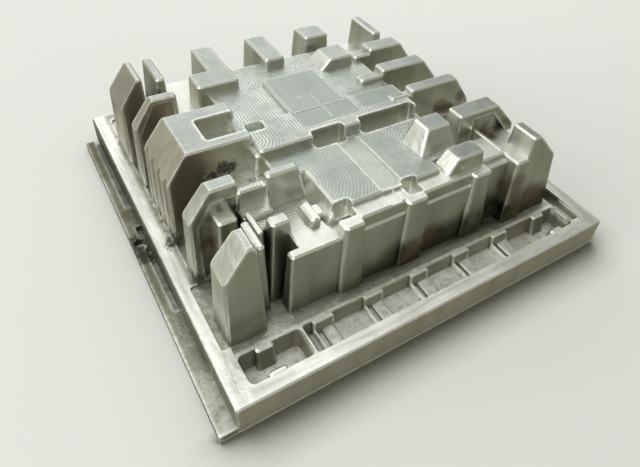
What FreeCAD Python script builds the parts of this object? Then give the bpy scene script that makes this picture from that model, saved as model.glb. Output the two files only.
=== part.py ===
"""Core half of an aluminium packaging mould, milled from one block of plate.

Frame: millimetres, +Z up. The origin is the middle of the underside of the plate. The working
frame below starts at the plate's near left corner, on top of the rim, and the finished solid is
moved to the origin at the end.
"""
import FreeCAD, Part
import math
import os

Vec = FreeCAD.Vector

# ---- driving dimensions -------------------------------------------------------------------
PLATE_WIDTH = 400.0
PLATE_DEPTH = 396.0
PLATE_HEIGHT = 31.0
RIM_FRONT = 12.0
RIM_LEFT = 17.0
RIM_RIGHT = 14.0
RIM_BACK = 12.0
RIM_CORNER = 6.0
RIM_NOTCH_WIDTH = 7.0
EDGE_BREAK = 1.2

DRAFT = 2.5
CUTTER_RADIUS = 3.0
CREST = 1.6
SINK = 4.0

# ---- levels above the top of the rim ------------------------------------------------------
LEDGE = -2.0
GUTTER = -9.0
RIGHT_GUTTER = 13.0
BACK_GUTTER = 24.0
LIP_LEVEL = 60.0
PIT_LEVEL = 64.0
STEP_LEVEL = 72.0
FIELD_LEVEL = 76.5
REAR_LEVEL = 82.0
REAR_WALL_LEVEL = 86.0
TOWER_LEVEL = 93.0
CHAMFER_LEVEL = 66.0

# ---- the core's outline in plan -----------------------------------------------------------
CORE_LEFT = 17.0
CORE_RIGHT = 362.0
CORE_FRONT = 51.0
CORE_BACK = 344.0
LEFT_CHAMFER_RUN = 19.0
RIGHT_CHAMFER_RUN = 26.0
BACK_CHAMFER_RUN = 7.0
FLUTE_COUNT = 4
FLUTE_RADIUS = 5.0
FLUTE_DEPTH = 2.0

# ---- front trough: level blocks, each with a slot and a lip, between wide pockets -----------
TROUGH_NEAR = 13.0
TROUGH_FAR = 41.0
TROUGH_LEFT = 74.0
TROUGH_RIGHT = 303.0
TROUGH_FLOOR = -17.0
TROUGH_DRAFT = 9.0
BLOCK_LEVEL = -13.5
BLOCK_FAR = 38.0
BLOCK_COUNT = 5
BLOCK_FIRST = 86.0
BLOCK_PITCH = 50.0
BLOCK_LENGTH = 17.0
LIP_THICKNESS = 2.0
LIP_RISE = 2.0
SLOT_LENGTH = 6.0
END_FLOOR = -22.0
END_RADIUS = 5.0
PILASTER_LENGTH = 15.0
PILASTER_REACH = 4.0
LEFT_PILASTER = 33.0
RIGHT_PILASTER = 340.0
RIGHT_POCKET_END = 373.0

# ---- clamping flange along the left foot --------------------------------------------------
FLANGE_REACH = 14.0
FLANGE_THICKNESS = 8.0
FLANGE_LENGTH = 384.0
FLANGE_GROOVE = 5.0
FLANGE_GROOVE_DEPTH = 5.0
SLOT_RADIUS = 5.5
SLOT_Y = 208.0


def frustum(low, high, z):
    """Solid with flat sides between two plan rectangles (x0, x1, y0, y1) at heights z.

    The wedge is drawn lying down, its height along y, and then stood up.
    """
    solid = Part.makeWedge(
        low[0], z[0], -low[3], -high[3], high[0], low[1], z[1], -low[2], -high[2], high[1]
    )
    solid.rotate(Vec(0, 0, 0), Vec(1, 0, 0), 90)
    return solid


def round_corners(solid, x, y, radius):
    """Round the four upright edges to the cutter's radius, or less where x or y is narrow."""
    upright = [e for e in solid.Edges if e.BoundBox.ZLength > 1.0]
    return solid.makeFillet(min(radius, 0.4 * (x[1] - x[0]), 0.4 * (y[1] - y[0])), upright)


def drafted(x, y, z, radius=CUTTER_RADIUS, crest=CREST, lean=(1, 1, 1, 1), draft=DRAFT):
    """Milled block: x, y are its plan at the top, z its foot and top; walls flare to the foot.

    lean scales the draft of the left, right, near and far wall.
    """
    flare = (z[1] - z[0]) * math.tan(math.radians(draft))
    left, right, near, far = [flare * share for share in lean]
    foot = (x[0] - left, x[1] + right, y[0] - near, y[1] + far)
    block = frustum(foot, (x[0], x[1], y[0], y[1]), z)
    if radius > 0.0:
        block = round_corners(block, x, y, radius)
    rim = [e for e in block.Edges if e.BoundBox.ZMin > z[1] - 0.01]
    return block.makeChamfer(crest, rim)


def pocket(x, y, z, radius=CUTTER_RADIUS, draft=DRAFT):
    """Cavity to cut: x, y are its plan at the mouth z[1], narrowing down to the floor z[0]."""
    flare = (z[1] - z[0]) * math.tan(math.radians(draft))
    floor = (x[0] + flare, x[1] - flare, y[0] + flare, y[1] - flare)
    return round_corners(frustum(floor, (x[0], x[1], y[0], y[1]), z), floor[:2], floor[2:], radius)


def prism(points, direction):
    """Solid swept from a closed polygon along a vector."""
    corners = [Vec(*p) for p in points]
    return Part.Face(Part.makePolygon(corners + corners[:1])).extrude(Vec(*direction))


def outward_wedge(side, foot, run, span):
    """Material outside a tower's sloping shoulder; span is its extent along the wall."""
    rise = TOWER_LEVEL - CHAMFER_LEVEL
    over = 0.5
    low = CHAMFER_LEVEL - over * rise
    high = TOWER_LEVEL + over * rise
    sign = 1.0 if side == "left" else -1.0
    out = foot - sign * over * run
    inner = foot + sign * (1.0 + over) * run
    length = span[1] - span[0]
    if side == "back":
        corners = [(span[0], out, low), (span[0], inner, high), (span[0], out, high)]
        return prism(corners, (length, 0, 0))
    corners = [(out, span[0], low), (inner, span[0], high), (out, span[0], high)]
    return prism(corners, (0, length, 0))


def side_tower(side, x_inner, y, x_outer, run, foot=-SINK):
    """Tower on the left or right edge with its outer shoulder milled off at a slope."""
    x = (x_outer, x_inner) if side == "left" else (x_inner, x_outer)
    lean = (0.4, 1, 1, 1) if side == "left" else (1, 3, 1, 1)
    block = drafted(x, y, (foot, TOWER_LEVEL), lean=lean)
    return block.cut(outward_wedge(side, x_outer, run, (y[0] - 10.0, y[1] + 10.0)))


def hood_niche(x_low, x_high, x_far, y_near, depth, top):
    """Niche in a hood's near face, its head following the sloping shoulder of the hood."""
    corners = [
        (x_low, y_near - 6.0, 2.0),
        (x_low, y_near - 6.0, CHAMFER_LEVEL - 6.0),
        (x_high, y_near - 6.0, top),
        (x_far, y_near - 6.0, top),
        (x_far, y_near - 6.0, 2.0),
    ]
    return prism(corners, (0, 6.0 + depth, 0))


def wall_flutes(x, span):
    """Upright grooves left by the cutter in a left wall, evenly spread over its length."""
    pitch = (span[1] - span[0]) / (FLUTE_COUNT - 1)
    height = CHAMFER_LEVEL + FLUTE_RADIUS - LEDGE
    out = FLUTE_RADIUS - FLUTE_DEPTH
    return [
        Part.makeCylinder(FLUTE_RADIUS, height, Vec(x - out, span[0] + i * pitch, LEDGE))
        for i in range(FLUTE_COUNT)
    ]


def base_plate():
    """Plate with broken edges, sunk inside its rim to the ledge the towers stand on."""
    plate = Part.makeBox(PLATE_WIDTH, PLATE_DEPTH, PLATE_HEIGHT, Vec(0, 0, -PLATE_HEIGHT))
    outer = [e for e in plate.Edges if e.BoundBox.ZMin > -EDGE_BREAK or e.BoundBox.ZLength > 1.0]
    plate = plate.makeChamfer(EDGE_BREAK, outer)
    inside_x = (RIM_LEFT, PLATE_WIDTH - RIM_RIGHT)
    inside_y = (RIM_FRONT, PLATE_DEPTH - RIM_BACK)
    sunk = pocket(inside_x, inside_y, (LEDGE, 2.0), radius=RIM_CORNER)
    notch_x = (RIM_LEFT - RIM_NOTCH_WIDTH, RIM_LEFT + 6.0)
    notch = pocket(notch_x, (CORE_FRONT - 2.0, 118.0), (LEDGE, 2.0))
    return plate.cut([sunk, notch])


def clamp_flange():
    """Low flange along the left foot with its groove, the bridge across it and the bolt hole."""
    flange = Part.makeBox(
        FLANGE_REACH + 1.0, FLANGE_LENGTH, FLANGE_THICKNESS, Vec(-FLANGE_REACH, 0, -PLATE_HEIGHT)
    )
    top = FLANGE_THICKNESS - PLATE_HEIGHT
    groove_floor = top - FLANGE_GROOVE_DEPTH
    groove_height = FLANGE_GROOVE_DEPTH + 1.0
    bridge = (SLOT_Y + 22.0, SLOT_Y + 52.0)
    near_groove = Part.makeBox(
        FLANGE_GROOVE, bridge[0] - 118.0, groove_height, Vec(-FLANGE_GROOVE, 118.0, groove_floor)
    )
    far_groove = Part.makeBox(
        FLANGE_GROOVE,
        FLANGE_LENGTH - bridge[1] + 1.0,
        groove_height,
        Vec(-FLANGE_GROOVE, bridge[1], groove_floor),
    )
    hole_at = Vec(-SLOT_RADIUS - 1.0, SLOT_Y, -PLATE_HEIGHT - 1.0)
    hole = Part.makeCylinder(SLOT_RADIUS, FLANGE_THICKNESS + 2.0, hole_at)
    return flange.cut([near_groove, far_groove, hole])


def trough_pockets():
    """Cuts for the front channel and for the deep pockets at both of its ends."""
    near, far = TROUGH_NEAR, TROUGH_FAR
    channel = pocket(
        (TROUGH_LEFT, TROUGH_RIGHT + 8.0), (near, far), (TROUGH_FLOOR, LEDGE), draft=TROUGH_DRAFT
    )
    mouth = Part.makeBox(TROUGH_RIGHT + 8.0 - TROUGH_LEFT, far - near, 4.0, Vec(TROUGH_LEFT, near, LEDGE))
    cuts = [channel, mouth]
    for x in ((RIM_LEFT, TROUGH_LEFT - 1.0), (TROUGH_RIGHT + 1.0, RIGHT_POCKET_END)):
        cuts.append(pocket(x, (near, far), (END_FLOOR, LEDGE + 4.0), END_RADIUS, draft=6.0))
    return cuts


def trough_blocks():
    """What stands in the front channel: level blocks, their lips, and the end pilasters."""
    low = (END_FLOOR - 2.0, BLOCK_LEVEL)
    brow = (END_FLOOR - 2.0, LEDGE)
    near, far = TROUGH_NEAR - 2.0, TROUGH_FAR + 2.0
    shapes = [drafted((TROUGH_LEFT - 1.0, BLOCK_FIRST - SLOT_LENGTH), (near, far), low, radius=0.0)]
    for i in range(BLOCK_COUNT):
        lip_at = BLOCK_FIRST + i * BLOCK_PITCH - LIP_THICKNESS
        slot_at = lip_at + LIP_THICKNESS
        end = slot_at + BLOCK_LENGTH
        lip = (low[0], BLOCK_LEVEL + LIP_RISE)
        shapes.append(drafted((lip_at, slot_at), (near, BLOCK_FAR), lip, radius=0.0, crest=0.5))
        shapes.append(drafted((slot_at + SLOT_LENGTH, end), (near, far), low, radius=0.0, lean=(4, 1, 1, 1)))
        shapes.append(drafted((lip_at, end), (BLOCK_FAR, far + 2.0), brow, radius=0.0, lean=(1, 1, 3, 1)))
    for x0 in (LEFT_PILASTER, RIGHT_PILASTER):
        x = (x0, x0 + PILASTER_LENGTH)
        shapes.append(drafted(x, (TROUGH_FAR - PILASTER_REACH, far), brow, lean=(1, 1, 6, 1)))
        shapes.append(drafted(x, (near, TROUGH_NEAR + PILASTER_REACH), (brow[0], 0.0), lean=(1, 1, 1, 3)))
    return shapes


def side_gutters():
    """Channels between the core and the rim on the right and at the back."""
    inner_right = PLATE_WIDTH - RIM_RIGHT
    inner_back = PLATE_DEPTH - RIM_BACK
    outer = (inner_right - 1.0, inner_back - 2.0)
    depth = (GUTTER, 1.0)
    right = pocket((outer[0] - RIGHT_GUTTER, outer[0]), (TROUGH_NEAR + 3.0, outer[1]), depth)
    back = pocket((RIM_LEFT + 4.0, outer[0]), (outer[1] - BACK_GUTTER, outer[1]), depth)
    return [right, back]


def core_body():
    """Solid middle of the core up to the level of its lip."""
    foot = -SINK
    corner = drafted((74.0, 130.0), (59.0, 68.0), (foot, LIP_LEVEL))
    front = drafted((85.0, 277.0), (59.0, 130.0), (foot, LIP_LEVEL), lean=(1, 4.66, 1, 1))
    middle = drafted((64.0, 346.0), (98.0, 336.0), (foot, LIP_LEVEL), lean=(1, 3, 1, 1))
    left_back = drafted((50.0, 80.0), (226.0, 336.0), (foot, LIP_LEVEL))
    right_near = drafted((305.0, 350.0), (70.0, 110.0), (foot, LIP_LEVEL), lean=(1, 3, 1, 1))
    return [corner, front, middle, left_back, right_near]


def front_terraces():
    """Merlons of the near wall and the terraces stepping up behind them."""
    foot = -SINK
    low = LIP_LEVEL - SINK
    merlons = [(120.0, 139.0), (182.0, 203.5), (256.0, 277.0)]
    shapes = [drafted(x, (55.5, 70.0), (foot, STEP_LEVEL), radius=4.0) for x in merlons]
    shapes.append(drafted((137.0, 276.0), (61.5, 100.0), (low, STEP_LEVEL)))
    shapes.append(drafted((268.0, 307.0), (70.5, 100.0), (low, STEP_LEVEL)))
    shapes.append(drafted((262.0, 307.0), (64.5, 80.0), (foot, STEP_LEVEL - 6.0)))
    shapes.append(drafted((124.0, 232.0), (76.0, 160.0), (low, FIELD_LEVEL), lean=(12, 1, 1, 1)))
    shapes.append(drafted((99.0, 130.0), (128.0, 160.0), (low, FIELD_LEVEL), lean=(3, 1, 3, 1)))
    shapes.append(drafted((200.0, 266.0), (90.0, 160.0), (low, FIELD_LEVEL)))
    return shapes


def front_pits():
    """Round-cornered pits and the smooth band milled into the front terraces."""
    top = FIELD_LEVEL + 1.0
    pits = [
        pocket((121.0, 138.0), (66.0, 83.0), (PIT_LEVEL, top)),
        pocket((188.5, 204.0), (64.0, 81.0), (PIT_LEVEL, top)),
        pocket((168.0, 190.0), (70.0, 151.0), (FIELD_LEVEL - 1.5, top), radius=1.5),
        pocket((168.0, 180.0), (62.0, 77.0), (STEP_LEVEL - 1.0, top), radius=1.5),
        pocket((147.0, 181.0), (149.0, 165.0), (PIT_LEVEL, REAR_WALL_LEVEL + 6.0), radius=4.0),
        pocket((198.0, 262.0), (149.0, 165.0), (PIT_LEVEL, REAR_WALL_LEVEL + 6.0), radius=4.0),
    ]
    return pits


def front_blocks():
    """Blocks standing on the front terraces."""
    low = LIP_LEVEL - SINK
    tall = (FIELD_LEVEL - SINK, TOWER_LEVEL + 4.0)
    short = (STEP_LEVEL - SINK, REAR_WALL_LEVEL + 1.0)
    return [
        drafted((236.0, 263.0), (106.0, 127.0), tall, lean=(1, 0.1, 0.9, 0.1), draft=28.0),
        drafted((244.0, 275.0), (69.0, 88.0), short, lean=(1, 0.1, 0.15, 0.1), draft=35.0),
        drafted((104.0, 112.0), (80.0, 103.0), (low, 68.0), lean=(9, 1, 1, 1)),
        drafted((110.0, 126.0), (86.0, 100.0), (low, 65.0)),
        drafted((82.0, 110.0), (116.0, 124.0), (low, TOWER_LEVEL + 2.0), lean=(1, 6, 1, 1)),
        drafted((71.5, 87.5), (86.0, 98.0), (-SINK, STEP_LEVEL), lean=(3, 1, 4.2, 1)),
    ]


def left_column():
    """Towers, hoods and ribs along the left edge, near to far."""
    foot = -SINK
    left = CORE_LEFT + 1.0
    run = LEFT_CHAMFER_RUN
    near_plate = side_tower("left", 46.0, (55.0, 78.5), left, run)
    near_plate = near_plate.cut(
        prism([(42.0, 40.0, TOWER_LEVEL), (50.0, 40.0, TOWER_LEVEL - 16.0), (50.0, 40.0, 110.0)], (0, 60, 0))
    )
    near_hood = side_tower("left", 60.0, (122.0, 136.0), left, run)
    near_hood = near_hood.cut(hood_niche(left + 7.0, left + 19.0, 57.0, 119.5, 3.5, TOWER_LEVEL - 12.0))
    block = side_tower("left", 96.0, (172.5, 232.0), left, run)
    block = block.cut(pocket((58.5, 97.5), (183.0, 215.5), (STEP_LEVEL + 2.0, TOWER_LEVEL + 1.0)))
    block = block.cut(wall_flutes(left, (178.0, 226.0)))
    thin_hood = side_tower("left", 60.0, (260.0, 270.0), left, run)
    thin_hood = thin_hood.cut(hood_niche(left + 5.0, left + 20.0, 56.0, 257.5, 4.0, TOWER_LEVEL - 5.0))
    far_plate = side_tower("left", 40.0, (299.0, 339.0), left - 2.0, run)
    return [
        near_plate,
        near_hood,
        drafted((36.0, 52.0), (106.0, 126.0), (foot, STEP_LEVEL)),
        drafted((52.0, 58.0), (71.0, 103.0), (foot, STEP_LEVEL - 1.0)),
        drafted((59.5, 64.0), (86.0, 112.0), (foot, STEP_LEVEL - 2.0), crest=1.0),
        drafted((58.0, 84.0), (108.0, 130.0), (foot, 66.0)),
        drafted((58.0, 84.0), (120.0, 127.0), (foot, 84.0)),
        block,
        thin_hood,
        far_plate,
    ]


def rear_field():
    """Plateau behind the cross wall, with its smooth panel and milled pockets."""
    low = LIP_LEVEL - SINK
    plateau = drafted((92.0, 266.0), (157.0, 300.0), (low, REAR_LEVEL))
    wall = drafted((96.0, 266.0), (157.0, 200.0), (low, REAR_WALL_LEVEL))
    spur = drafted((146.0, 206.0), (190.0, 262.0), (low, REAR_WALL_LEVEL), radius=6.0)
    cross = [
        drafted((150.0, 206.0), (195.0, 197.0), (low, REAR_WALL_LEVEL + 0.5), crest=0.3),
        drafted((178.0, 180.0), (176.0, 218.0), (low, REAR_WALL_LEVEL + 0.5), crest=0.3),
    ]
    return [plateau, wall, spur] + cross


def back_row():
    """Towers along the back edge, left to right."""
    foot = -SINK
    low = LIP_LEVEL - SINK
    tall = (foot, TOWER_LEVEL)
    towers = [
        drafted((51.5, 60.0), (292.0, 338.0), tall),
        drafted((102.0, 123.0), (270.0, 338.0), tall),
        drafted((163.0, 185.0), (284.0, 340.0), tall),
        drafted((225.0, 254.0), (311.0, 341.0), tall),
        drafted((303.0, 314.0), (290.0, 338.0), tall),
    ]
    shapes = [
        t.cut(outward_wedge("back", CORE_BACK, BACK_CHAMFER_RUN, (t.BoundBox.XMin - 1, t.BoundBox.XMax + 1)))
        for t in towers
    ]
    shapes.append(drafted((82.0, 124.0), (263.0, 290.0), (low, TOWER_LEVEL)))
    ramped = (REAR_LEVEL - SINK, TOWER_LEVEL)
    shapes.append(drafted((226.0, 253.0), (258.0, 286.0), ramped, lean=(1, 0.1, 0.1, 0.1), draft=48.0))
    return shapes


def right_column():
    """Towers, hoods and ribs along the right edge, near to far."""
    foot = -SINK
    low = LIP_LEVEL - SINK
    right = CORE_RIGHT - 5.0
    near_plate = side_tower("right", 322.0, (54.5, 82.0), right, RIGHT_CHAMFER_RUN)
    near_hood = side_tower("right", 282.0, (112.0, 131.0), right, RIGHT_CHAMFER_RUN, low)
    near_hood = near_hood.cut(hood_niche(right - 8.0, right - 30.0, 300.0, 109.0, 8.0, TOWER_LEVEL - 8.0))
    third = side_tower("right", 268.0, (170.0, 183.0), 346.0, 20.0, low)
    fourth = side_tower("right", 264.0, (215.0, 231.0), 340.0, 22.0, low)
    far_block = side_tower("right", 277.0, (258.0, 277.0), 338.0, 20.0, low)
    tails = [(238.0, 270.0, 215.0, 227.0), (246.0, 272.0, 172.0, 182.0), (258.0, 284.0, 259.0, 274.0)]
    shapes = [drafted(t[:2], t[2:], (low, REAR_WALL_LEVEL + 1.5)) for t in tails]
    return shapes + [
        near_plate,
        drafted((307.0, 326.0), (53.0, 84.0), (foot, STEP_LEVEL - 2.0), lean=(1, 1, 1.6, 1)),
        drafted((303.0, 307.0), (74.0, 112.0), (foot, STEP_LEVEL + 1.0), crest=1.0),
        near_hood,
        third,
        fourth,
        far_block,
    ]


def build():
    """Whole mould half as one solid, moved to the middle of its underside."""
    added = [clamp_flange()] + core_body() + front_terraces() + rear_field()
    plate = base_plate().cut(trough_pockets() + side_gutters())
    solid = plate.fuse(added + trough_blocks())
    solid = solid.cut(front_pits())
    solid = solid.fuse(front_blocks() + left_column() + back_row() + right_column())
    solid = solid.cut(pocket((98.0, 116.0), (186.0, 199.0), (FIELD_LEVEL, TOWER_LEVEL + 1.0)))
    solid = solid.removeSplitter()
    solid.translate(Vec(-PLATE_WIDTH / 2.0, -PLATE_DEPTH / 2.0, PLATE_HEIGHT))
    return solid


os.makedirs("parts", exist_ok=True)
mould = build()
print("solids", len(mould.Solids), "valid", mould.isValid(), "faces", len(mould.Faces))
mould.Solids[0].exportStep("parts/mould_core_half.step")
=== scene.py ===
import math

import bpy
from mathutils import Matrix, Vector


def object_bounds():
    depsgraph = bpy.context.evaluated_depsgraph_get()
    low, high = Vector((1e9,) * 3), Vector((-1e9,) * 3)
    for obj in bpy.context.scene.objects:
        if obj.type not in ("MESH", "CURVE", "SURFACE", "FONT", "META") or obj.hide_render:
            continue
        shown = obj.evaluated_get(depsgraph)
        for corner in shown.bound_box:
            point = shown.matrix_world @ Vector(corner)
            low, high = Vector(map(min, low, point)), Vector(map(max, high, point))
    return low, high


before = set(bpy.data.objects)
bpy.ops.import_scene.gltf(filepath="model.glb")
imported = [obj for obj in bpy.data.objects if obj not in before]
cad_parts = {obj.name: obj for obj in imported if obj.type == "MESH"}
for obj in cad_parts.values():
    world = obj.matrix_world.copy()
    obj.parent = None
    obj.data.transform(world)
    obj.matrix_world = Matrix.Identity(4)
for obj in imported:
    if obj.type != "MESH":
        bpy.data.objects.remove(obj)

bl_info = {
    "name": "Milled Packaging Mould Half",
    "version": (1, 0, 0),
    "blender": (4, 5, 0),
    "location": "View3D > Sidebar > Mould",
    "description": "Dresses an aluminium packaging mould half and sets up its studio",
    "category": "Object",
}

NODE = "mould_core_half"
METAL_SLOT = "milled_aluminium"
CAD_BOUNDS = [list(corner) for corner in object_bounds()]

# Levels off the table and places in plan, in metres, from the middle of the plate.
PLATE_LEFT = -CAD_BOUNDS[1][0]
PLATE_FRONT = CAD_BOUNDS[0][1]
RIM_TOP = 0.031
LEDGE_TOP = 0.029
CORE_TOPS = 0.088
FIELD_TOPS = 0.107
TOWER_TOPS = 0.1225
TROUGH_BACK = -0.1545
CORE_FRONT = -0.147
CORE_LEFT = -0.183

# Where a wash begins and where it is full, in metres: across, in depth, or off the table.
LEFT_COLUMN_ACROSS = (-0.110, -0.150)
LEFT_COLUMN_DEPTH = (-0.085, -0.045)
LEFT_COLUMN_FOOT = (0.035, 0.060)
SIDE_RIMS = (0.180, 0.188)
BY_TOWERS_ACROSS = (-0.120, -0.130)
BY_TOWERS_DEPTH = (-0.120, -0.105)
FLANGE_SHADE_DEPTH = (-0.10, 0.03)
FOOT_SHADE_TOP = (0.088, 0.045)
FOOT_SHADE_DEPTH = (0.02, -0.10)
FOOT_SHADE_ACROSS = (-0.10, 0.02)
LOW_FRONT_SHADE_TOP = (0.067, 0.041)
LOW_FRONT_SHADE_DEPTH = (-0.09, -0.12)
LOW_FRONT_SHADE_ACROSS = (-0.11, 0.00)
CORE_FOOT_ACROSS = (-0.13, 0.0)

# Straight passes on the ledge: radians of the wave for each metre, which is one pass every 2.1 mm.
LEDGE_PASS_TURN = 1500.0

TABLE_SIZE = 30.0

# Colour of each layer of the metal, in the order in which they lie.
TONES = {
    "bright metal": (0.75, 0.775, 0.72, 1.0),
    "dull metal": (0.56, 0.58, 0.53, 1.0),
    # Plate front: weathered metal, made paler with painted light.
    "plate front": (0.95, 0.955, 0.85, 1.0),
    "painted_slope_light": (0.93, 0.95, 0.92, 1.0),
    "painted shade on high tops": (0.34, 0.375, 0.355, 1.0),
    "warm streaks": (0.52, 0.48, 0.37, 1.0),
    "dark streaks": (0.30, 0.28, 0.20, 1.0),
    "painted shade on core front": (0.32, 0.320, 0.220, 1.0),
    "left column": (0.42, 0.37, 0.28, 1.0),
    "cutter marks with painted highlight": (0.98, 1.0, 0.98, 1.0),
    "glints": (0.93, 0.95, 0.93, 1.0),
    "grimy floors": (0.30, 0.29, 0.22, 1.0),
    "painted shade on floor at core foot": (0.08, 0.075, 0.040, 1.0),
    "straight passes": (0.90, 0.90, 0.86, 1.0),
    "trough floor": (0.95, 0.96, 0.93, 1.0),
    "painted shade on trough walls": (0.31, 0.295, 0.215, 1.0),
    "rim": (0.42, 0.43, 0.38, 1.0),
    "rubbed rim": (0.87, 0.88, 0.85, 1.0),
    "rim by the towers": (0.22, 0.20, 0.14, 1.0),
    "painted_shade": (0.11, 0.105, 0.060, 1.0),
    "painted_pit_light": (0.70, 0.73, 0.67, 1.0),
    "painted_crevice_shade": (0.09, 0.085, 0.06, 1.0),
    # Painted highlight along the edges.
    "edges": (0.97, 0.98, 0.95, 1.0),
    "painted shade low on core front": (0.045, 0.042, 0.020, 1.0),
    "stains": (0.16, 0.105, 0.045, 1.0),
    "grease": (0.015, 0.014, 0.010, 1.0),
}

# Square soft lamps: place, size, share of the key's power, colour.
LAMPS = {
    "key_softbox": ((0.4, 2.0, 1.9), 3.0, 1.0, (1.0, 1.0, 0.985)),
    "left_softbox": ((-2.0, 0.3, 1.1), 1.6, 0.75, (1.0, 1.0, 0.96)),
    "top_softbox": ((-0.5, 0.1, 2.2), 1.6, 0.45, (1.0, 1.0, 0.98)),
    "front_softbox": ((-0.9, -1.5, 1.7), 0.9, 0.30, (1.0, 1.0, 0.98)),
}
LAMP_TARGET = (0.0, 0.0, 0.05)

CAMERA_PLACE = (-0.2641, -0.3870, 0.4189)
CAMERA_TURN = (50.53, -4.67, -32.597)
CAMERA_LENS = 31.789
CAMERA_SHIFT = (-0.0469, -0.107)

# Plans of the blocks that the cutter went round: x from, x to, y from, y to, in metres.
CONTOURED = [
    (0.018, 0.096, 0.172, 0.232),
    (0.018, 0.060, 0.260, 0.270),
    (0.082, 0.124, 0.263, 0.338),
    (0.163, 0.185, 0.284, 0.340),
    (0.222, 0.254, 0.262, 0.341),
    (0.146, 0.208, 0.172, 0.262),
    (0.264, 0.340, 0.215, 0.231),
    (0.268, 0.346, 0.170, 0.183),
    (0.276, 0.357, 0.112, 0.131),
    (0.237, 0.266, 0.107, 0.126),
    (0.082, 0.110, 0.116, 0.124),
    (0.245, 0.276, 0.070, 0.088),
]

# Flats left without contour marks.
SMOOTH = [
    (0.166, 0.191, 0.060, 0.152),
    (0.150, 0.206, 0.176, 0.216),
    (0.150, 0.206, 0.220, 0.258),
    (0.216, 0.262, 0.176, 0.210),
]

# Black grease packed into corners: x, y off the plate corner, height off the table, size.
GREASE = [
    (0.066, 0.170, 0.099, 0.010),
    (0.073, 0.171, 0.098, 0.009),
    (0.057, 0.171, 0.095, 0.008),
    (0.086, 0.155, 0.095, 0.007),
    (0.051, 0.290, 0.111, 0.007),
    (0.016, 0.172, 0.036, 0.012),
    (0.019, 0.122, 0.036, 0.010),
    (0.345, 0.056, 0.034, 0.012),
    (0.300, 0.066, 0.034, 0.012),
    (0.128, 0.086, 0.098, 0.004),
    # These two fill the flange's bolt hole with black: painted shade.
    (-0.007, 0.206, 0.007, 0.015),
    (-0.007, 0.190, 0.007, 0.012),
]

# Brown stains: x, y off the plate corner, height off the table, size.
STAINS = [
    (0.312, 0.170, 0.092, 0.014),
    (0.322, 0.170, 0.088, 0.012),
    (0.302, 0.150, 0.092, 0.012),
    (0.322, 0.112, 0.094, 0.016),
    (0.342, 0.050, 0.048, 0.024),
    (0.215, 0.058, 0.050, 0.020),
    (0.190, 0.056, 0.046, 0.016),
    (0.030, 0.121, 0.070, 0.010),
    (0.034, 0.121, 0.096, 0.006),
    (0.044, 0.121, 0.105, 0.006),
    (0.056, 0.121, 0.100, 0.006),
    (0.314, 0.056, 0.070, 0.022),
    (0.322, 0.054, 0.040, 0.018),
    (0.350, 0.120, 0.100, 0.016),
    (0.336, 0.175, 0.100, 0.014),
]


class MouldLook(bpy.types.PropertyGroup):
    """How the milled metal and the studio look."""

    edge_radius: bpy.props.FloatProperty(
        name="Edge radius",
        description="Rounding worked onto every sharp edge",
        default=0.0012,
        unit="LENGTH",
    )
    cusp_pitch: bpy.props.FloatProperty(
        name="Cusp pitch",
        description="Distance between two passes of the cutter",
        default=0.0029,
        unit="LENGTH",
    )
    cusp_height: bpy.props.FloatProperty(
        name="Cusp height",
        description="Height of the ridge between two passes",
        default=0.00020,
        unit="LENGTH",
    )
    tarnish: bpy.props.FloatProperty(
        name="Tarnish",
        description="How far the oxide darkens the metal",
        default=0.5,
        min=0.0,
        max=1.0,
    )
    dirt: bpy.props.FloatProperty(
        name="Dirt",
        description="How much dirt sits in the corners",
        default=0.9,
        min=0.0,
        max=1.0,
    )
    key_power: bpy.props.FloatProperty(
        name="Key power",
        description="Power of the large soft lamp behind the mould",
        default=26.0,
        unit="POWER",
    )


# ---- node helpers -------------------------------------------------------------------------


def node(tree, kind, **settings):
    """New node with its properties set."""
    made = tree.nodes.new(kind)
    for name, value in settings.items():
        setattr(made, name, value)
    return made


def feed(tree, socket, source):
    """Connect source to the socket, or set it as a constant."""
    if isinstance(source, bpy.types.NodeSocket):
        tree.links.new(source, socket)
    elif source is not None:
        socket.default_value = source


def calc(tree, operation, *sources, clamp=False):
    """Math node; gives its output."""
    made = node(tree, "ShaderNodeMath", operation=operation, use_clamp=clamp)
    for socket, source in zip(made.inputs, sources):
        feed(tree, socket, source)
    return made.outputs["Value"]


def times(tree, first, *others):
    """Product of two or more values."""
    product = first
    for other in others:
        product = calc(tree, "MULTIPLY", product, other)
    return product


def without(tree, share):
    """What a share leaves of the whole."""
    return calc(tree, "SUBTRACT", 1.0, share)


def vec(tree, operation, *sources):
    """Vector Math node; gives its vector output, or its value for a length."""
    made = node(tree, "ShaderNodeVectorMath", operation=operation)
    for socket, source in zip(made.inputs, sources):
        feed(tree, socket, source)
    return made.outputs["Value" if operation == "LENGTH" else "Vector"]


def split(tree, vector):
    """The X, Y and Z of a vector."""
    made = node(tree, "ShaderNodeSeparateXYZ")
    feed(tree, made.inputs[0], vector)
    return made.outputs


def noise(tree, point, scale, detail=3.0, stretch=(1.0, 1.0, 1.0), roughness=0.55):
    """Noise value from 0 to 1; stretch scales each axis of the point first."""
    spread = vec(tree, "MULTIPLY", point, stretch)
    made = node(tree, "ShaderNodeTexNoise")
    feed(tree, made.inputs["Vector"], spread)
    feed(tree, made.inputs["Scale"], scale)
    feed(tree, made.inputs["Detail"], detail)
    feed(tree, made.inputs["Roughness"], roughness)
    return made.outputs["Fac"]


def ease(tree, value, low, high, to_low=0.0, to_high=1.0):
    """Map low..high of a value smoothly to to_low..to_high."""
    made = node(tree, "ShaderNodeMapRange", interpolation_type="SMOOTHSTEP")
    for name, source in (("Value", value), ("From Min", low), ("From Max", high)):
        feed(tree, made.inputs[name], source)
    feed(tree, made.inputs["To Min"], to_low)
    feed(tree, made.inputs["To Max"], to_high)
    return made.outputs["Result"]


def blend_value(tree, share, first, second):
    """Mix two values."""
    made = node(tree, "ShaderNodeMix", data_type="FLOAT")
    feed(tree, made.inputs[0], share)
    feed(tree, made.inputs[2], first)
    feed(tree, made.inputs[3], second)
    return made.outputs[0]


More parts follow.
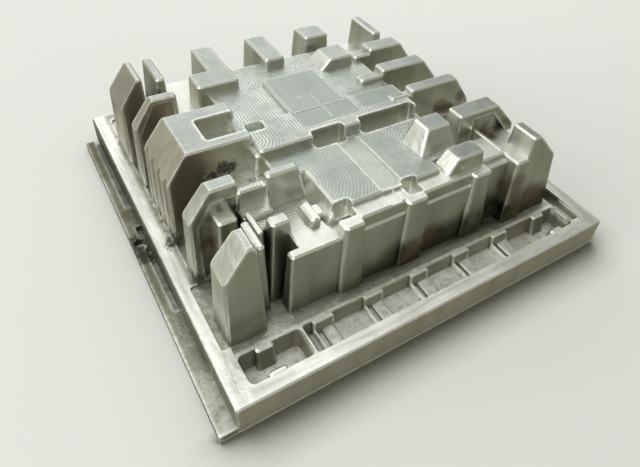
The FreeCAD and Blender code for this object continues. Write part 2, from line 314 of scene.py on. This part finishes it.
def blend_colour(tree, share, first, second):
    """Mix two colours."""
    made = node(tree, "ShaderNodeMix", data_type="RGBA", blend_type="MIX")
    feed(tree, made.inputs["Factor"], share)
    feed(tree, made.inputs[6], first)
    feed(tree, made.inputs[7], second)
    return made.outputs[2]


def crowding(tree, distance, samples=5, inside=False):
    """How open a point is, 0 to 1, seen outward, or inward through the metal."""
    made = node(tree, "ShaderNodeAmbientOcclusion", samples=samples, inside=inside)
    feed(tree, made.inputs["Distance"], distance)
    return made.outputs["AO"]


def plan_distance(tree, point, plan):
    """Distance in plan from a rectangle given as x from, x to, y from, y to off the plate corner."""
    x0, x1, y0, y1 = plan
    centre = (PLATE_LEFT + (x0 + x1) / 2, PLATE_FRONT + (y0 + y1) / 2, 0.0)
    half = ((x1 - x0) / 2, (y1 - y0) / 2, 1.0)
    beyond = vec(tree, "SUBTRACT", vec(tree, "ABSOLUTE", vec(tree, "SUBTRACT", point, centre)), half)
    return vec(tree, "LENGTH", vec(tree, "MAXIMUM", beyond, (0.0, 0.0, 0.0)))


def nearest(tree, point, plans):
    """Distance in plan from the nearest of several rectangles."""
    distance = plan_distance(tree, point, plans[0])
    for plan in plans[1:]:
        distance = calc(tree, "MINIMUM", distance, plan_distance(tree, point, plan))
    return distance


# ---- milled aluminium ---------------------------------------------------------------------


class MetalSkin:
    """What the layers of the metal share: where a point is, how it faces, and common noise."""

    def __init__(self, tree):
        self.tree = tree
        self.place = node(tree, "ShaderNodeTexCoord").outputs["Object"]
        facing = split(tree, node(tree, "ShaderNodeNewGeometry").outputs["Normal"])
        self.facing_back = facing["Y"]
        self.facing_up = facing["Z"]
        axes = split(tree, self.place)
        self.across = axes["X"]
        self.depth = axes["Y"]
        self.height = axes["Z"]
        self.streaks = noise(tree, self.place, 75.0, 3.0, stretch=(1.0, 1.0, 0.14))
        self.blotches = noise(tree, self.place, 22.0, 4.0)
        self.fine = noise(tree, self.place, 900.0, 3.0)
        self.rough_cut = noise(tree, self.place, 170.0, 6.0, roughness=0.75)
        self.lumps = noise(tree, self.place, 48.0, 4.0, stretch=(1.0, 1.0, 0.7))
        self.wall = ease(tree, calc(tree, "ABSOLUTE", self.facing_up), 0.6, 0.2)
        self.level = ease(tree, self.facing_up, 0.7, 0.95)
        below_rim = ease(tree, self.height, RIM_TOP - 0.0006, RIM_TOP - 0.0016)
        self.low_floor = times(tree, below_rim, self.level)
        self.trough = times(tree, ease(tree, self.depth, TROUGH_BACK + 0.0008, TROUGH_BACK), below_rim)
        front_face = ease(tree, self.depth, PLATE_FRONT + 0.0030, PLATE_FRONT + 0.0015)
        self.plate_front = times(tree, front_face, self.wall)
        self.above_ledge = ease(tree, self.height, LEDGE_TOP - 0.0028, LEDGE_TOP - 0.0005)
        self.behind_trough = ease(tree, self.depth, TROUGH_BACK - 0.0015, TROUGH_BACK + 0.0015)
        above_fields = ease(tree, self.height, FIELD_TOPS - 0.0025, FIELD_TOPS)
        self.high_tops = times(tree, ease(tree, self.facing_up, 0.85, 0.99), above_fields)


def cusps(skin, look):
    """Height of the cutter's marks: rings round the blocks, straight passes on tower tops."""
    tree = skin.tree
    half_turn = math.pi / look.cusp_pitch
    wander = noise(tree, skin.place, 55.0, 3.0)
    distance = nearest(tree, skin.place, CONTOURED)
    close = ease(tree, distance, 0.032, 0.006, 0.35, 1.0)
    around = calc(tree, "MULTIPLY_ADD", wander, 0.0030, distance)
    rings = calc(tree, "ABSOLUTE", calc(tree, "SINE", times(tree, around, half_turn)))
    rings = times(tree, without(tree, calc(tree, "POWER", rings, 0.8)), close)
    straight = calc(tree, "ABSOLUTE", calc(tree, "SINE", times(tree, skin.depth, half_turn)))
    straight = times(tree, without(tree, straight), 0.35)
    on_tower = ease(tree, skin.height, TOWER_TOPS - 0.002, TOWER_TOPS)
    marks = blend_value(tree, on_tower, rings, straight)
    up = ease(tree, skin.facing_up, 0.93, 0.99)
    high = ease(tree, skin.height, CORE_TOPS - 0.002, CORE_TOPS)
    marked = ease(tree, nearest(tree, skin.place, SMOOTH), 0.0, 0.0008)
    patchy = ease(tree, noise(tree, skin.place, 70.0, 4.0), 0.36, 0.58, 0.40, 1.0)
    return times(tree, marks, up, high, marked, patchy)


def long_passes(skin):
    """Fine lines left along the ledge and the gutters by straight passes."""
    tree = skin.tree
    wander = noise(tree, skin.place, 30.0, 3.0)
    track = calc(tree, "MULTIPLY_ADD", wander, 0.0015, skin.depth)
    wave = calc(tree, "ABSOLUTE", calc(tree, "SINE", times(tree, track, LEDGE_PASS_TURN)))
    low = ease(tree, skin.height, RIM_TOP - 0.0003, RIM_TOP - 0.0012)
    on_plate = ease(tree, skin.across, PLATE_LEFT, PLATE_LEFT + 0.0010)
    flat = ease(tree, skin.facing_up, 0.9, 0.99)
    return times(tree, low, on_plate, flat, calc(tree, "POWER", wave, 3.0))


def spots(skin, places, ragged, tear):
    """Soft patches round the places, torn by noise; gives 0 to 1."""
    tree = skin.tree
    total = None
    for x, y, z, size in places:
        centre = (PLATE_LEFT + x, PLATE_FRONT + y, z)
        away = vec(tree, "LENGTH", vec(tree, "SUBTRACT", skin.place, centre))
        spot = ease(tree, away, size * 1.5, 0.0)
        total = spot if total is None else calc(tree, "MAXIMUM", total, spot)
    torn = calc(tree, "MULTIPLY_ADD", calc(tree, "SUBTRACT", ragged, 0.5), tear, total)
    return ease(tree, torn, 0.35, 0.85)


def painted_shade_film(skin):
    """Share of painted shade on the flange and on the feet of the walls."""
    tree = skin.tree
    flange = times(
        tree,
        ease(tree, skin.across, PLATE_LEFT + 0.0015, PLATE_LEFT),
        ease(tree, skin.depth, *FLANGE_SHADE_DEPTH, 0.75, 1.0),
        ease(tree, skin.blotches, 0.25, 0.65, 0.55, 0.90),
    )
    foot = times(
        tree,
        ease(tree, calc(tree, "MULTIPLY_ADD", skin.blotches, 0.035, skin.height), *FOOT_SHADE_TOP),
        skin.above_ledge,
        ease(tree, skin.depth, *FOOT_SHADE_DEPTH, 0.35, 1.0),
        ease(tree, skin.across, *FOOT_SHADE_ACROSS, 0.65, 1.0),
        skin.behind_trough,
        skin.wall,
    )
    return calc(tree, "MAXIMUM", flange, foot)


def painted_low_front_shade(skin):
    """Share of painted shade low on the core's front, heavier to the right."""
    tree = skin.tree
    right = ease(tree, skin.across, *LOW_FRONT_SHADE_ACROSS, 0.35, 0.95)
    uneven = calc(tree, "MULTIPLY_ADD", skin.lumps, 0.045, skin.height)
    low = ease(tree, calc(tree, "MULTIPLY_ADD", right, -0.022, uneven), *LOW_FRONT_SHADE_TOP)
    front = times(tree, ease(tree, skin.depth, *LOW_FRONT_SHADE_DEPTH), skin.behind_trough)
    return times(tree, low, skin.above_ledge, front, right, skin.wall)


def bare_layers(skin, look):
    """Tarnish, the weathered plate front made paler with painted light, painted light on the slopes, and
    painted shade on the high tops.
    """
    tree = skin.tree
    # Painted light: faces sloping between wall and top made paler.
    painted_slope_light = times(tree, ease(tree, skin.facing_up, 0.30, 0.50), ease(tree, skin.facing_up, 0.93, 0.85), 0.15)
    return [
        ("dull metal", ease(tree, skin.blotches, 0.35, 0.7, 0.0, look.tarnish)),
        # Plate front: weathered, and made paler with painted light on the front face.
        ("plate front", times(tree, skin.plate_front, 0.8)),
        ("painted_slope_light", painted_slope_light),
        # Painted shade: up-facing tops above the fields made darker.
        ("painted shade on high tops", skin.high_tops),
    ]


def wall_layers(skin):
    """Streaks down the walls, painted shade on the core's front, and the warm tone of the left column."""
    tree = skin.tree
    broad = noise(tree, skin.place, 26.0, 3.0, stretch=(1.0, 1.0, 0.22))
    # Painted shade: walls facing the front, above the rim, made darker and olive.
    painted_front_shade = times(
        tree,
        ease(tree, skin.facing_back, -0.5, -0.95),
        ease(tree, skin.height, RIM_TOP - 0.001, RIM_TOP + 0.009, 0.0, 0.55),
    )
    left_column = times(
        tree,
        ease(tree, skin.across, *LEFT_COLUMN_ACROSS, 0.0, 0.5),
        without(tree, skin.high_tops),
        ease(tree, skin.depth, *LEFT_COLUMN_DEPTH, 0.25, 1.25),
        ease(tree, skin.height, *LEFT_COLUMN_FOOT),
    )
    return [
        ("warm streaks", times(tree, skin.wall, ease(tree, skin.streaks, 0.40, 0.75, 0.05, 0.60))),
        ("dark streaks", times(tree, skin.wall, ease(tree, broad, 0.48, 0.72, 0.0, 0.6))),
        ("painted shade on core front", painted_front_shade),
        ("left column", left_column),
    ]


def cut_layers(skin, marks):
    """Cutter marks painted near white as a highlight, and painted glints on what faces up."""
    tree = skin.tree
    glints = times(
        tree, ease(tree, skin.fine, 0.55, 0.72), ease(tree, skin.facing_up, 0.8, 0.95, 0.05, 0.35)
    )
    # The cutter marks are real; their near-white colour is a painted highlight.
    return [("cutter marks with painted highlight", marks), ("glints", glints)]


def floor_layers(skin, passes):
    """Grime and straight passes on the ledge and gutters, painted shade on the floor at the core's foot and
    on the trough's walls, and the trough floor's tone.
    """
    tree = skin.tree
    # Painted shade on the floor along the foot of the core's front.
    painted_floor_shade_at_core_foot = times(
        tree,
        skin.low_floor,
        ease(tree, skin.depth, CORE_FRONT - 0.0045, CORE_FRONT + 0.0070, 0.0, 0.85),
        ease(tree, skin.across, *CORE_FOOT_ACROSS, 0.4, 1.0),
    )
    trough_floor = times(
        tree, skin.trough, skin.level, ease(tree, skin.rough_cut, 0.32, 0.6, 0.3, 0.9)
    )
    return [
        ("grimy floors", times(tree, skin.low_floor, ease(tree, skin.rough_cut, 0.35, 0.65, 0.75, 0.15))),
        ("painted shade on floor at core foot", painted_floor_shade_at_core_foot),
        ("straight passes", times(tree, passes, 0.4)),
        ("trough floor", trough_floor),
        # Painted shade on the walls inside the trough.
        ("painted shade on trough walls", times(tree, skin.trough, skin.wall, 0.75)),
    ]


def rim_layers(skin):
    """Dull rim, rubbed bright along its length, and darker beside the left towers."""
    tree = skin.tree
    rim = times(
        tree,
        ease(tree, skin.height, RIM_TOP - 0.0016, RIM_TOP - 0.0006),
        ease(tree, skin.height, RIM_TOP + 0.0016, RIM_TOP + 0.0006),
        ease(tree, skin.facing_up, 0.3, 0.9),
    )
    along_front = noise(tree, skin.place, 150.0, 5.0, stretch=(0.08, 1.0, 1.0), roughness=0.7)
    along_side = noise(tree, skin.place, 150.0, 5.0, stretch=(1.0, 0.08, 1.0), roughness=0.7)
    on_side = ease(tree, calc(tree, "ABSOLUTE", skin.across), *SIDE_RIMS)
    scuffs = blend_value(tree, on_side, along_front, along_side)
    by_towers = times(
        tree,
        rim,
        ease(tree, skin.across, CORE_LEFT - 0.0075, CORE_LEFT - 0.0025),
        ease(tree, skin.across, *BY_TOWERS_ACROSS),
        ease(tree, skin.depth, *BY_TOWERS_DEPTH),
        ease(tree, skin.rough_cut, 0.35, 0.6, 0.9, 0.45),
    )
    return [
        ("rim", rim),
        ("rubbed rim", times(tree, rim, ease(tree, scuffs, 0.34, 0.58, 0.45, 1.0))),
        ("rim by the towers", by_towers),
    ]


def corner_layers(skin):
    """Painted shade on the flange and the walls' feet, painted light in the pits on top, painted shade in the
    crevices lower down, and painted highlights on the edges.
    """
    tree = skin.tree
    # Painted shade on the flange and on the walls' feet, dark olive.
    painted_shade = painted_shade_film(skin)
    # How crowded a point is: it drives the painted light in the pits and the painted shade in the crevices.
    crowded = ease(tree, crowding(tree, 0.02), 0.70, 0.20)
    crowded = times(tree, crowded, calc(tree, "MULTIPLY_ADD", skin.trough, -0.25, 0.8))
    on_top = ease(tree, skin.height, CORE_TOPS, CORE_TOPS + 0.006)
    # Painted highlight: bright edges found through the metal, broken by noise and kept off the painted shade.
    edges = times(
        tree,
        ease(tree, crowding(tree, 0.0034, inside=True), 0.92, 0.60),
        calc(tree, "MULTIPLY_ADD", painted_shade, -0.8, 1.0),
        ease(tree, noise(tree, skin.place, 160.0, 4.0), 0.30, 0.55, 0.45, 1.0),
    )
    return [
        ("painted_shade", painted_shade),
        # Painted light: hollows on the core tops kept pale.
        ("painted_pit_light", times(tree, crowded, on_top)),
        # Painted shade: dark crevices below the core tops.
        ("painted_crevice_shade", times(tree, crowded, without(tree, on_top))),
        ("edges", edges),
    ]


def dirt_layers(skin, grease):
    """Painted shade at the core's foot, brown stains and packed grease."""
    stains = times(skin.tree, spots(skin, STAINS, skin.lumps, 1.6), 0.65)
    # Painted shade low on the core's front, then brown stains and grease.
    return [("painted shade low on core front", painted_low_front_shade(skin)), ("stains", stains), ("grease", grease)]


def worn_roughness(skin, grease):
    """Roughness: blotched, duller in the trough, dullest in grease."""
    tree = skin.tree
    rough = ease(tree, skin.blotches, 0.3, 0.7, 0.32, 0.46)
    rough = calc(tree, "MULTIPLY_ADD", skin.trough, 0.15, rough)
    rough = calc(tree, "MULTIPLY_ADD", calc(tree, "SUBTRACT", skin.fine, 0.5), 0.20, rough)
    return calc(tree, "MULTIPLY_ADD", grease, 0.4, rough, clamp=True)


def bare_metal(skin, grease):
    """Share of bare metal: none in grease, and less on the weathered plate front."""
    tree = skin.tree
    return without(tree, calc(tree, "MAXIMUM", grease, times(tree, skin.plate_front, 0.45)))


def relief(skin, look, marks, passes, grease):
    """Height of the small relief, in metres."""
    tree = skin.tree
    grain = noise(tree, skin.place, 260.0, 4.0, stretch=(0.12, 1.0, 1.0))
    waves = noise(tree, skin.place, 85.0, 3.0)
    height = times(tree, marks, look.cusp_height)
    for shape, rise in (
        (skin.fine, 0.00003),
        (times(tree, skin.streaks, skin.wall), 0.00055),
        (grain, 0.00004),
        (waves, 0.00060),
        (times(tree, skin.low_floor, skin.rough_cut), 0.00025),
        (grease, 0.0006),
        (passes, 0.00006),
    ):
        height = calc(tree, "MULTIPLY_ADD", shape, rise, height)
    return height


def milled_aluminium(look):
    """Milled aluminium with cutter marks, streaked walls, tarnish, packed dirt, and painted light and shade.
    """
    material = bpy.data.materials.new(METAL_SLOT)
    material.use_nodes = True
    tree = material.node_tree
    shader = tree.nodes["Principled BSDF"]
    skin = MetalSkin(tree)
    marks = cusps(skin, look)
    passes = long_passes(skin)
    ragged = noise(tree, skin.place, 330.0, 5.0, roughness=0.75)
    grease = times(tree, spots(skin, GREASE, ragged, 2.2), look.dirt)
    layers = bare_layers(skin, look) + wall_layers(skin) + cut_layers(skin, marks)
    layers += floor_layers(skin, passes) + rim_layers(skin) + corner_layers(skin)
    layers += dirt_layers(skin, grease)
    tone = TONES["bright metal"]
    for name, share in layers:
        tone = blend_colour(tree, share, tone, TONES[name])
    feed(tree, shader.inputs["Base Color"], tone)
    feed(tree, shader.inputs["Roughness"], worn_roughness(skin, grease))
    feed(tree, shader.inputs["Metallic"], bare_metal(skin, grease))
    bump = node(tree, "ShaderNodeBump")
    feed(tree, bump.inputs["Strength"], 1.0)
    feed(tree, bump.inputs["Distance"], 1.0)
    feed(tree, bump.inputs["Height"], relief(skin, look, marks, passes, grease))
    feed(tree, shader.inputs["Normal"], bump.outputs["Normal"])
    return material


# ---- table --------------------------------------------------------------------------------


def pale_table():
    """Pale matt table with painted light across it and a painted contact shadow, darker to what the metal
    reflects than to the eye.
    """
    material = bpy.data.materials.new("pale_table")
    material.use_nodes = True
    tree = material.node_tree
    shader = tree.nodes["Principled BSDF"]
    path = node(tree, "ShaderNodeLightPath")
    axes = split(tree, node(tree, "ShaderNodeTexCoord").outputs["Object"])
    # Painted light: the table grows paler further back and to the right.
    away = calc(tree, "MULTIPLY_ADD", axes["X"], 1.6, axes["Y"])
    pale = blend_colour(
        tree, ease(tree, away, -0.3, 2.2), (0.720, 0.725, 0.718, 1.0), (0.930, 0.935, 0.935, 1.0)
    )
    # Painted contact shadow on the table in front of the plate.
    in_front = ease(tree, axes["Y"], PLATE_FRONT + 0.013, PLATE_FRONT - 0.002, 0.15, 0.98)
    painted_contact_shadow = times(tree, ease(tree, crowding(tree, 0.045, samples=6), 0.95, 0.60), in_front)
    pale = blend_colour(tree, painted_contact_shadow, pale, (0.060, 0.058, 0.032, 1.0))
    seen = blend_colour(tree, path.outputs["Is Camera Ray"], (0.34, 0.345, 0.285, 1.0), pale)
    feed(tree, shader.inputs["Base Color"], seen)
    shader.inputs["Roughness"].default_value = 0.9
    shader.inputs["Specular IOR Level"].default_value = 0.1
    return material


# ---- operators ----------------------------------------------------------------------------


class MOULD_OT_round_edges(bpy.types.Operator):
    """Joins the core half's facets and rounds its sharp edges."""

    bl_idname = "mould.round_edges"
    bl_label = "Round the edges"

    def execute(self, context):
        look = context.scene.mould_look
        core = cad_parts[NODE]
        weld = core.modifiers.new("join_facets", "WELD")
        weld.merge_threshold = 1e-6
        flat = core.modifiers.new("flat_faces", "DECIMATE")
        flat.decimate_type = "DISSOLVE"
        flat.angle_limit = math.radians(1.0)
        bevel = core.modifiers.new("worked_edges", "BEVEL")
        bevel.width = look.edge_radius
        bevel.segments = 3
        bevel.limit_method = "ANGLE"
        bevel.angle_limit = math.radians(28.0)
        bevel.miter_outer = "MITER_ARC"
        bevel.use_clamp_overlap = True
        even = core.modifiers.new("even_shading", "WEIGHTED_NORMAL")
        even.keep_sharp = False
        even.weight = 80
        return {"FINISHED"}


class MOULD_OT_metal(bpy.types.Operator):
    """Gives the core half its milled, tarnished aluminium."""

    bl_idname = "mould.metal"
    bl_label = "Milled aluminium"

    def execute(self, context):
        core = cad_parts[NODE]
        metal = milled_aluminium(context.scene.mould_look)
        for slot in core.material_slots:
            slot.material = metal
        return {"FINISHED"}


class MOULD_OT_stage(bpy.types.Operator):
    """Lays the pale table and hangs the soft lamps and the camera."""

    bl_idname = "mould.stage"
    bl_label = "Studio"

    def execute(self, context):
        look = context.scene.mould_look
        bpy.ops.object.select_all(action="DESELECT")
        bpy.ops.mesh.primitive_plane_add(size=TABLE_SIZE, location=(0.0, 0.0, 0.0))
        table = context.active_object
        table.name = "table"
        table.data.materials.append(pale_table())
        for name, (place, size, share, colour) in LAMPS.items():
            self.lamp(name, place, size, look.key_power * share, colour)
        self.surroundings(context.scene)
        self.camera(context.scene)
        context.scene.view_settings.view_transform = "Standard"
        return {"FINISHED"}

    def lamp(self, name, place, size, power, colour):
        """Square soft lamp that looks at the middle of the mould."""
        bpy.ops.object.light_add(type="AREA", location=place)
        lamp = bpy.context.active_object
        lamp.name = name
        lamp.data.size = size
        lamp.data.energy = power
        lamp.data.color = colour
        aim = Vector(LAMP_TARGET) - Vector(place)
        lamp.rotation_euler = aim.to_track_quat("-Z", "Y").to_euler()

    def surroundings(self, scene):
        """Pale room to the eye, dim and slightly warm to the metal."""
        world = bpy.data.worlds.new("studio")
        world.use_nodes = True
        tree = world.node_tree
        sky = tree.nodes["Background"]
        path = node(tree, "ShaderNodeLightPath")
        colour = blend_colour(
            tree, path.outputs["Is Camera Ray"], (0.44, 0.44, 0.39, 1.0), (0.79, 0.80, 0.76, 1.0)
        )
        feed(tree, sky.inputs["Color"], colour)
        sky.inputs["Strength"].default_value = 1.0
        scene.world = world

    def camera(self, scene):
        """Camera above the near left corner."""
        turn = [math.radians(angle) for angle in CAMERA_TURN]
        bpy.ops.object.camera_add(location=CAMERA_PLACE, rotation=turn)
        camera = bpy.context.active_object
        camera.data.lens = CAMERA_LENS
        camera.data.sensor_width = 36.0
        camera.data.shift_x, camera.data.shift_y = CAMERA_SHIFT
        camera.data.clip_start = 0.01
        scene.camera = camera


class MOULD_PT_panel(bpy.types.Panel):
    """Steps that dress the mould half."""

    bl_idname = "MOULD_PT_panel"
    bl_label = "Mould half"
    bl_space_type = "VIEW_3D"
    bl_region_type = "UI"
    bl_category = "Mould"

    def draw(self, context):
        look = context.scene.mould_look
        for name in ("edge_radius", "cusp_pitch", "cusp_height", "tarnish", "dirt", "key_power"):
            self.layout.prop(look, name)
        for step in STEPS:
            self.layout.operator(step.bl_idname)


STEPS = (MOULD_OT_round_edges, MOULD_OT_metal, MOULD_OT_stage)
CLASSES = (MouldLook,) + STEPS + (MOULD_PT_panel,)


def register():
    for cls in CLASSES:
        bpy.utils.register_class(cls)
    bpy.types.Scene.mould_look = bpy.props.PointerProperty(type=MouldLook)


def unregister():
    del bpy.types.Scene.mould_look
    for cls in reversed(CLASSES):
        bpy.utils.unregister_class(cls)


def main():
    register()
    bpy.ops.mould.round_edges()
    bpy.ops.mould.metal()
    bpy.ops.mould.stage()


if __name__ == "__main__":
    main()
